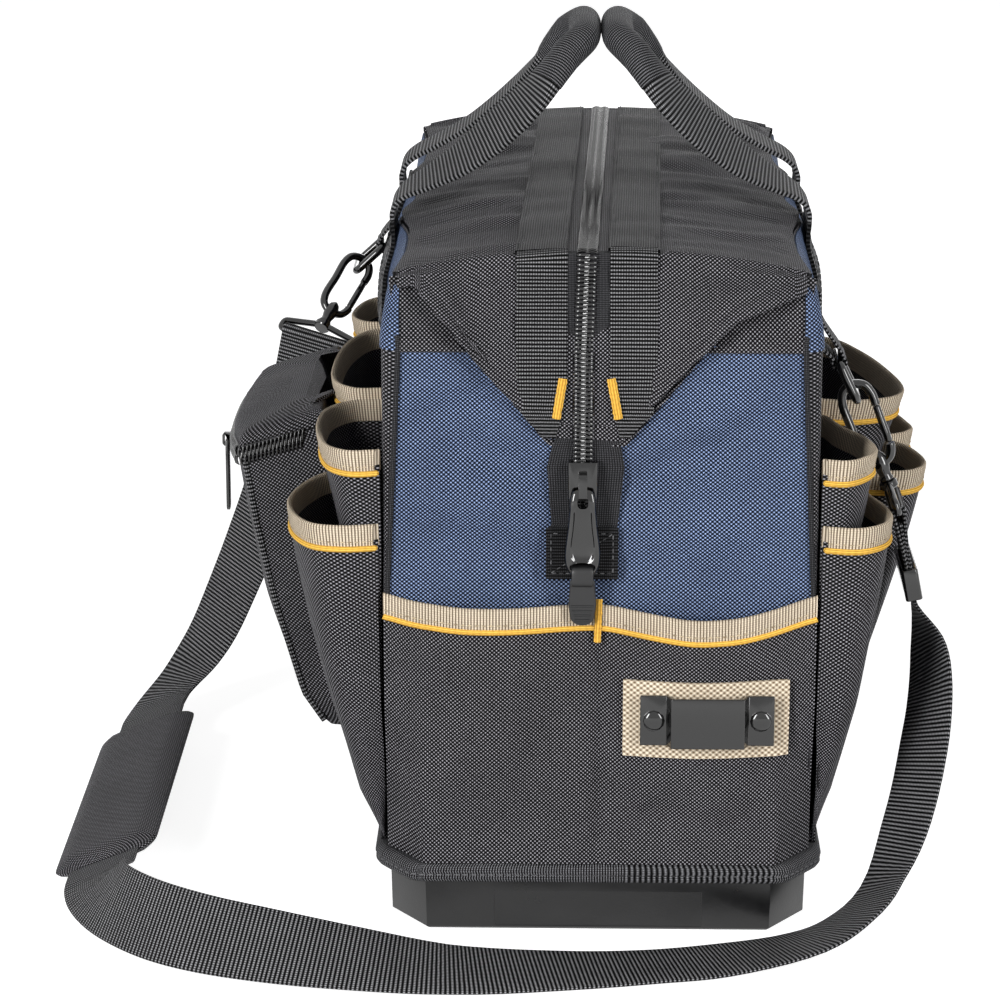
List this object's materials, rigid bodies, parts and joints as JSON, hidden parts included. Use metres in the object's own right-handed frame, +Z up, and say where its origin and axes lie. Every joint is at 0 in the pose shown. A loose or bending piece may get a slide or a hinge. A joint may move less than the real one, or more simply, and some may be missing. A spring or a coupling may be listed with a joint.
{
  "type": "zippered tool bag",
  "caption": "Wide-mouth fabric tool bag with a zip top, moulded base, outer pockets, side pouch, tape clip, carry handles and a clip-on shoulder strap.",
  "frame": {"origin": "on the floor under the middle of the bag", "axes": "+Z up, +Y along the bag's length away from the end with the tape clip, +X to the side without the pouch"},
  "size_m": [0.4483, 0.547, 0.4164],
  "materials": {
    "black_fabric": "black ballistic weave, matt",
    "blue_fabric": "blue ballistic weave, matt",
    "tan_binding": "tan ribbed binding",
    "webbing": "black ribbed webbing",
    "moulded_base": "black moulded base, fine grain",
    "zip_coil": "black coil zip",
    "hardware": "gloss black coated metal",
    "pull_rubber": "black moulded rubber"
  },
  "bodies": {
    "bag": {"base_tray": "moulded_base", "floor_board": "moulded_base", "base_rim_binding": "webbing", "near_end_panel": "blue_fabric", "far_end_panel": "blue_fabric", "left_side_panel": "black_fabric", "right_side_panel": "black_fabric", "near_end_fold": "black_fabric", "far_end_fold": "black_fabric", "near_zip_tail": "webbing", "near_zip_chain": "zip_coil", "near_end_pocket": "black_fabric", "near_end_pocket_binding": "tan_binding", "far_end_pocket": "black_fabric", "far_end_pocket_binding": "tan_binding", "tape_clip_patch": "tan_binding", "tape_clip": "hardware", "left_upper_pocket": "black_fabric", "left_upper_binding": "tan_binding", "left_near_pocket": "black_fabric", "left_near_binding": "tan_binding", "left_far_pocket": "black_fabric", "left_far_binding": "tan_binding", "right_upper_pocket": "black_fabric", "right_upper_binding": "tan_binding", "right_near_pocket": "black_fabric", "right_near_binding": "tan_binding", "right_lower_pocket": "black_fabric", "right_lower_binding": "tan_binding", "right_far_pocket": "black_fabric", "right_far_binding": "tan_binding", "side_pouch": "black_fabric", "d_ring_tab_left": "webbing", "d_ring_tab_right": "webbing", "swivel_eye_left": "hardware", "swivel_eye_right": "hardware", "shoulder_strap": "webbing", "strap_adjuster": "hardware"},
    "top_left": {"top_flap_left": "black_fabric", "zip_half_left": "zip_coil", "top_webbing_left": "webbing"},
    "top_right": {"top_flap_right": "black_fabric", "zip_half_right": "zip_coil", "top_webbing_right": "webbing"},
    "grip_left": {"handle_left": "webbing"},
    "grip_right": {"handle_right": "webbing"},
    "zip_slider": {"main_slider": "hardware"},
    "zip_pull": {"main_pull": "hardware"},
    "zip_tab": {"pull_tab": "pull_rubber"},
    "lid": {"pouch_lid": "black_fabric"},
    "pouch_zip_slider": {"pouch_slider": "hardware"},
    "pouch_zip_pull": {"pouch_pull": "hardware"},
    "ring_left": {"d_ring_left": "hardware"},
    "ring_right": {"d_ring_right": "hardware"},
    "hook_left": {"snap_hook_left": "hardware"},
    "hook_right": {"snap_hook_right": "hardware"},
    "gate_left": {"hook_gate_left": "hardware"},
    "gate_right": {"hook_gate_right": "hardware"},
    "pad": {"shoulder_pad": "black_fabric"}
  },
  "joints": [
    {"name": "top_flap_left", "type": "hinge", "parent": "bag", "child": "top_left", "pos_m": [-0.104, 0, 0.3186], "axis": [0, -1, 0], "range_deg": [0, 60]},
    {"name": "top_flap_right", "type": "hinge", "parent": "bag", "child": "top_right", "pos_m": [0.104, 0, 0.3186], "axis": [0, 1, 0], "range_deg": [0, 60]},
    {"name": "handle_left", "type": "hinge", "parent": "top_left", "child": "grip_left", "pos_m": [-0.1066, 0, 0.3212], "axis": [0, -1, 0], "range_deg": [0, 90]},
    {"name": "handle_right", "type": "hinge", "parent": "top_right", "child": "grip_right", "pos_m": [0.1066, 0, 0.3212], "axis": [0, 1, 0], "range_deg": [0, 90]},
    {"name": "main_slider", "type": "slide", "parent": "bag", "child": "zip_slider", "axis": [0, 0.0317, 0.9995], "range_m": [0, 0.05]},
    {"name": "main_pull", "type": "hinge", "parent": "zip_slider", "child": "zip_pull", "pos_m": [-0.0085, -0.22955, 0.2226], "axis": [-1, 0, 0], "range_deg": [0, 140]},
    {"name": "pull_tab", "type": "hinge", "parent": "zip_pull", "child": "zip_tab", "pos_m": [-0.0085, -0.22955, 0.1818], "axis": [-1, 0, 0], "range_deg": [0, 70]},
    {"name": "pouch_lid", "type": "hinge", "parent": "bag", "child": "lid", "pos_m": [-0.1392, 0, 0.2318], "axis": [0, 1, 0], "range_deg": [0, 85]},
    {"name": "pouch_slider", "type": "slide", "parent": "bag", "child": "pouch_zip_slider", "axis": [0, 1, 0], "range_m": [0, 0.05]},
    {"name": "pouch_pull", "type": "hinge", "parent": "pouch_zip_slider", "child": "pouch_zip_pull", "pos_m": [-0.1922, -0.06, 0.2026], "axis": [0, 1, 0], "range_deg": [0, 100]},
    {"name": "d_ring_left", "type": "hinge", "parent": "bag", "child": "ring_left", "pos_m": [-0.121, 0.146, 0.2645], "axis": [0, 1, 0], "range_deg": [-4, 3]},
    {"name": "d_ring_right", "type": "hinge", "parent": "bag", "child": "ring_right", "pos_m": [0.116, -0.146, 0.2685], "axis": [0, 1, 0], "range_deg": [-4, 4]},
    {"name": "snap_hook_left", "type": "hinge", "parent": "bag", "child": "hook_left", "pos_m": [-0.13318, 0.146, 0.25495], "axis": [-0.3793, -0.7437, -0.5505], "range_deg": [-15, 15]},
    {"name": "snap_hook_right", "type": "hinge", "parent": "bag", "child": "hook_right", "pos_m": [0.12311, -0.146, 0.25492], "axis": [0.36, 0, -0.933], "range_deg": [-15, 15]},
    {"name": "hook_gate_left", "type": "hinge", "parent": "hook_left", "child": "gate_left", "pos_m": [-0.13972, 0.12094, 0.23206], "axis": [0.4245, -0.6685, 0.6106], "range_deg": [0, 14], "stiffness_Nm_per_rad": 0.02, "springref_deg": -11.46},
    {"name": "hook_gate_right", "type": "hinge", "parent": "hook_right", "child": "gate_right", "pos_m": [0.14233, -0.146, 0.22622], "axis": [0, -1, 0], "range_deg": [0, 14], "stiffness_Nm_per_rad": 0.02, "springref_deg": -11.46},
    {"name": "shoulder_pad", "type": "slide", "parent": "bag", "child": "pad", "axis": [0, 1, 0], "range_m": [-0.012, 0.012]}
  ]
}
